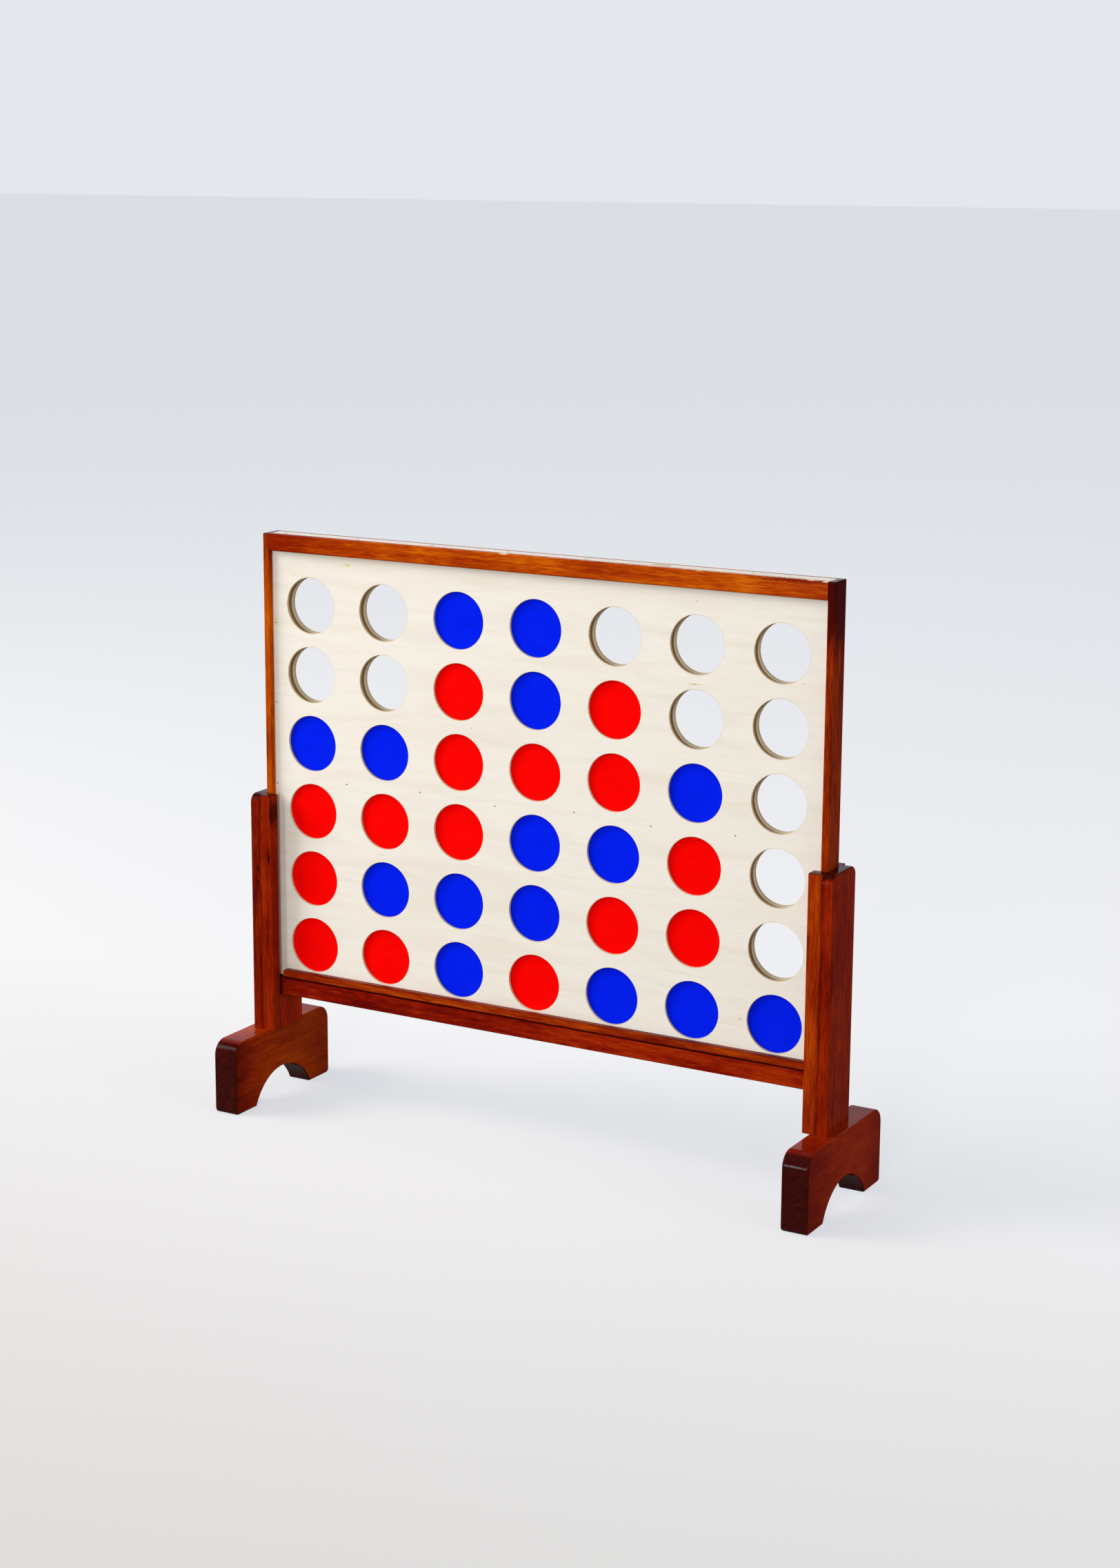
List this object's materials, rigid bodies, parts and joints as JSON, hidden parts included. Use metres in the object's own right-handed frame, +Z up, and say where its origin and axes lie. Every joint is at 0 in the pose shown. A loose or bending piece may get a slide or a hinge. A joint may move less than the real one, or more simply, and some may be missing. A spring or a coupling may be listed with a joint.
{
  "type": "giant four in a row",
  "caption": "Large floor-standing line-up game: a pierced plywood board that slides in the grooves of a stained wood stand, with round red and blue discs stacked in its columns.",
  "frame": {"origin": "on the floor, under the middle of the board", "axes": "+X to the right seen from the front, +Y to the back, +Z up; the front faces -Y"},
  "size_m": [0.948, 0.236, 0.841],
  "materials": {
    "stained_wood": "glossy red-brown stain and varnish",
    "cream_plywood": "pale cream plywood, satin lacquer",
    "bare_wood": "bare planed softwood",
    "red_paint": "matte red paint on plywood",
    "blue_paint": "matte blue paint on plywood"
  },
  "bodies": {
    "stand": {"left_upright": "stained_wood", "right_upright": "stained_wood", "left_front_cheek": "stained_wood", "left_back_cheek": "stained_wood", "right_front_cheek": "stained_wood", "right_back_cheek": "stained_wood", "left_post_block": "stained_wood", "right_post_block": "stained_wood", "left_foot": "stained_wood", "right_foot": "stained_wood", "crossbar": "stained_wood", "foot_dowels": "bare_wood"},
    "board": {"front_panel": "cream_plywood", "back_panel": "cream_plywood", "left_stile": "stained_wood", "right_stile": "stained_wood", "front_top_rail": "stained_wood", "back_top_rail": "stained_wood", "front_bottom_strip": "stained_wood", "back_bottom_strip": "stained_wood", "column_divider_1": "bare_wood", "column_divider_2": "bare_wood", "column_divider_3": "bare_wood", "column_divider_4": "bare_wood", "column_divider_5": "bare_wood", "column_divider_6": "bare_wood", "left_spacer": "bare_wood", "right_spacer": "bare_wood"},
    "disc_c1_r1": {"red_disc_c1_r1": "red_paint"},
    "disc_c1_r2": {"red_disc_c1_r2": "red_paint"},
    "disc_c1_r3": {"red_disc_c1_r3": "red_paint"},
    "disc_c1_r4": {"blue_disc_c1_r4": "blue_paint"},
    "disc_c2_r1": {"red_disc_c2_r1": "red_paint"},
    "disc_c2_r2": {"blue_disc_c2_r2": "blue_paint"},
    "disc_c2_r3": {"red_disc_c2_r3": "red_paint"},
    "disc_c2_r4": {"blue_disc_c2_r4": "blue_paint"},
    "disc_c3_r1": {"blue_disc_c3_r1": "blue_paint"},
    "disc_c3_r2": {"blue_disc_c3_r2": "blue_paint"},
    "disc_c3_r3": {"red_disc_c3_r3": "red_paint"},
    "disc_c3_r4": {"red_disc_c3_r4": "red_paint"},
    "disc_c3_r5": {"red_disc_c3_r5": "red_paint"},
    "disc_c3_r6": {"blue_disc_c3_r6": "blue_paint"},
    "disc_c4_r1": {"red_disc_c4_r1": "red_paint"},
    "disc_c4_r2": {"blue_disc_c4_r2": "blue_paint"},
    "disc_c4_r3": {"blue_disc_c4_r3": "blue_paint"},
    "disc_c4_r4": {"red_disc_c4_r4": "red_paint"},
    "disc_c4_r5": {"blue_disc_c4_r5": "blue_paint"},
    "disc_c4_r6": {"blue_disc_c4_r6": "blue_paint"},
    "disc_c5_r1": {"blue_disc_c5_r1": "blue_paint"},
    "disc_c5_r2": {"red_disc_c5_r2": "red_paint"},
    "disc_c5_r3": {"blue_disc_c5_r3": "blue_paint"},
    "disc_c5_r4": {"red_disc_c5_r4": "red_paint"},
    "disc_c5_r5": {"red_disc_c5_r5": "red_paint"},
    "disc_c6_r1": {"blue_disc_c6_r1": "blue_paint"},
    "disc_c6_r2": {"red_disc_c6_r2": "red_paint"},
    "disc_c6_r3": {"red_disc_c6_r3": "red_paint"},
    "disc_c6_r4": {"blue_disc_c6_r4": "blue_paint"},
    "disc_c7_r1": {"blue_disc_c7_r1": "blue_paint"}
  },
  "joints": [
    {"name": "board_lift", "type": "slide", "parent": "stand", "child": "board", "axis": [0, 0, 1], "range_m": [0, 0.285]},
    {"name": "disc_lift_c1_r1", "type": "slide", "parent": "stand", "child": "disc_c1_r1", "axis": [0, 0, 1], "range_m": [0, 0.66]},
    {"name": "disc_lift_c1_r2", "type": "slide", "parent": "disc_c1_r1", "child": "disc_c1_r2", "axis": [0, 0, 1], "range_m": [0, 0.56]},
    {"name": "disc_lift_c1_r3", "type": "slide", "parent": "disc_c1_r2", "child": "disc_c1_r3", "axis": [0, 0, 1], "range_m": [0, 0.46]},
    {"name": "disc_lift_c1_r4", "type": "slide", "parent": "disc_c1_r3", "child": "disc_c1_r4", "axis": [0, 0, 1], "range_m": [0, 0.36]},
    {"name": "disc_lift_c2_r1", "type": "slide", "parent": "stand", "child": "disc_c2_r1", "axis": [0, 0, 1], "range_m": [0, 0.66]},
    {"name": "disc_lift_c2_r2", "type": "slide", "parent": "disc_c2_r1", "child": "disc_c2_r2", "axis": [0, 0, 1], "range_m": [0, 0.56]},
    {"name": "disc_lift_c2_r3", "type": "slide", "parent": "disc_c2_r2", "child": "disc_c2_r3", "axis": [0, 0, 1], "range_m": [0, 0.46]},
    {"name": "disc_lift_c2_r4", "type": "slide", "parent": "disc_c2_r3", "child": "disc_c2_r4", "axis": [0, 0, 1], "range_m": [0, 0.36]},
    {"name": "disc_lift_c3_r1", "type": "slide", "parent": "stand", "child": "disc_c3_r1", "axis": [0, 0, 1], "range_m": [0, 0.66]},
    {"name": "disc_lift_c3_r2", "type": "slide", "parent": "disc_c3_r1", "child": "disc_c3_r2", "axis": [0, 0, 1], "range_m": [0, 0.56]},
    {"name": "disc_lift_c3_r3", "type": "slide", "parent": "disc_c3_r2", "child": "disc_c3_r3", "axis": [0, 0, 1], "range_m": [0, 0.46]},
    {"name": "disc_lift_c3_r4", "type": "slide", "parent": "disc_c3_r3", "child": "disc_c3_r4", "axis": [0, 0, 1], "range_m": [0, 0.36]},
    {"name": "disc_lift_c3_r5", "type": "slide", "parent": "disc_c3_r4", "child": "disc_c3_r5", "axis": [0, 0, 1], "range_m": [0, 0.26]},
    {"name": "disc_lift_c3_r6", "type": "slide", "parent": "disc_c3_r5", "child": "disc_c3_r6", "axis": [0, 0, 1], "range_m": [0, 0.16]},
    {"name": "disc_lift_c4_r1", "type": "slide", "parent": "stand", "child": "disc_c4_r1", "axis": [0, 0, 1], "range_m": [0, 0.66]},
    {"name": "disc_lift_c4_r2", "type": "slide", "parent": "disc_c4_r1", "child": "disc_c4_r2", "axis": [0, 0, 1], "range_m": [0, 0.56]},
    {"name": "disc_lift_c4_r3", "type": "slide", "parent": "disc_c4_r2", "child": "disc_c4_r3", "axis": [0, 0, 1], "range_m": [0, 0.46]},
    {"name": "disc_lift_c4_r4", "type": "slide", "parent": "disc_c4_r3", "child": "disc_c4_r4", "axis": [0, 0, 1], "range_m": [0, 0.36]},
    {"name": "disc_lift_c4_r5", "type": "slide", "parent": "disc_c4_r4", "child": "disc_c4_r5", "axis": [0, 0, 1], "range_m": [0, 0.26]},
    {"name": "disc_lift_c4_r6", "type": "slide", "parent": "disc_c4_r5", "child": "disc_c4_r6", "axis": [0, 0, 1], "range_m": [0, 0.16]},
    {"name": "disc_lift_c5_r1", "type": "slide", "parent": "stand", "child": "disc_c5_r1", "axis": [0, 0, 1], "range_m": [0, 0.66]},
    {"name": "disc_lift_c5_r2", "type": "slide", "parent": "disc_c5_r1", "child": "disc_c5_r2", "axis": [0, 0, 1], "range_m": [0, 0.56]},
    {"name": "disc_lift_c5_r3", "type": "slide", "parent": "disc_c5_r2", "child": "disc_c5_r3", "axis": [0, 0, 1], "range_m": [0, 0.46]},
    {"name": "disc_lift_c5_r4", "type": "slide", "parent": "disc_c5_r3", "child": "disc_c5_r4", "axis": [0, 0, 1], "range_m": [0, 0.36]},
    {"name": "disc_lift_c5_r5", "type": "slide", "parent": "disc_c5_r4", "child": "disc_c5_r5", "axis": [0, 0, 1], "range_m": [0, 0.26]},
    {"name": "disc_lift_c6_r1", "type": "slide", "parent": "stand", "child": "disc_c6_r1", "axis": [0, 0, 1], "range_m": [0, 0.66]},
    {"name": "disc_lift_c6_r2", "type": "slide", "parent": "disc_c6_r1", "child": "disc_c6_r2", "axis": [0, 0, 1], "range_m": [0, 0.56]},
    {"name": "disc_lift_c6_r3", "type": "slide", "parent": "disc_c6_r2", "child": "disc_c6_r3", "axis": [0, 0, 1], "range_m": [0, 0.46]},
    {"name": "disc_lift_c6_r4", "type": "slide", "parent": "disc_c6_r3", "child": "disc_c6_r4", "axis": [0, 0, 1], "range_m": [0, 0.36]},
    {"name": "disc_lift_c7_r1", "type": "slide", "parent": "stand", "child": "disc_c7_r1", "axis": [0, 0, 1], "range_m": [0, 0.66]}
  ]
}
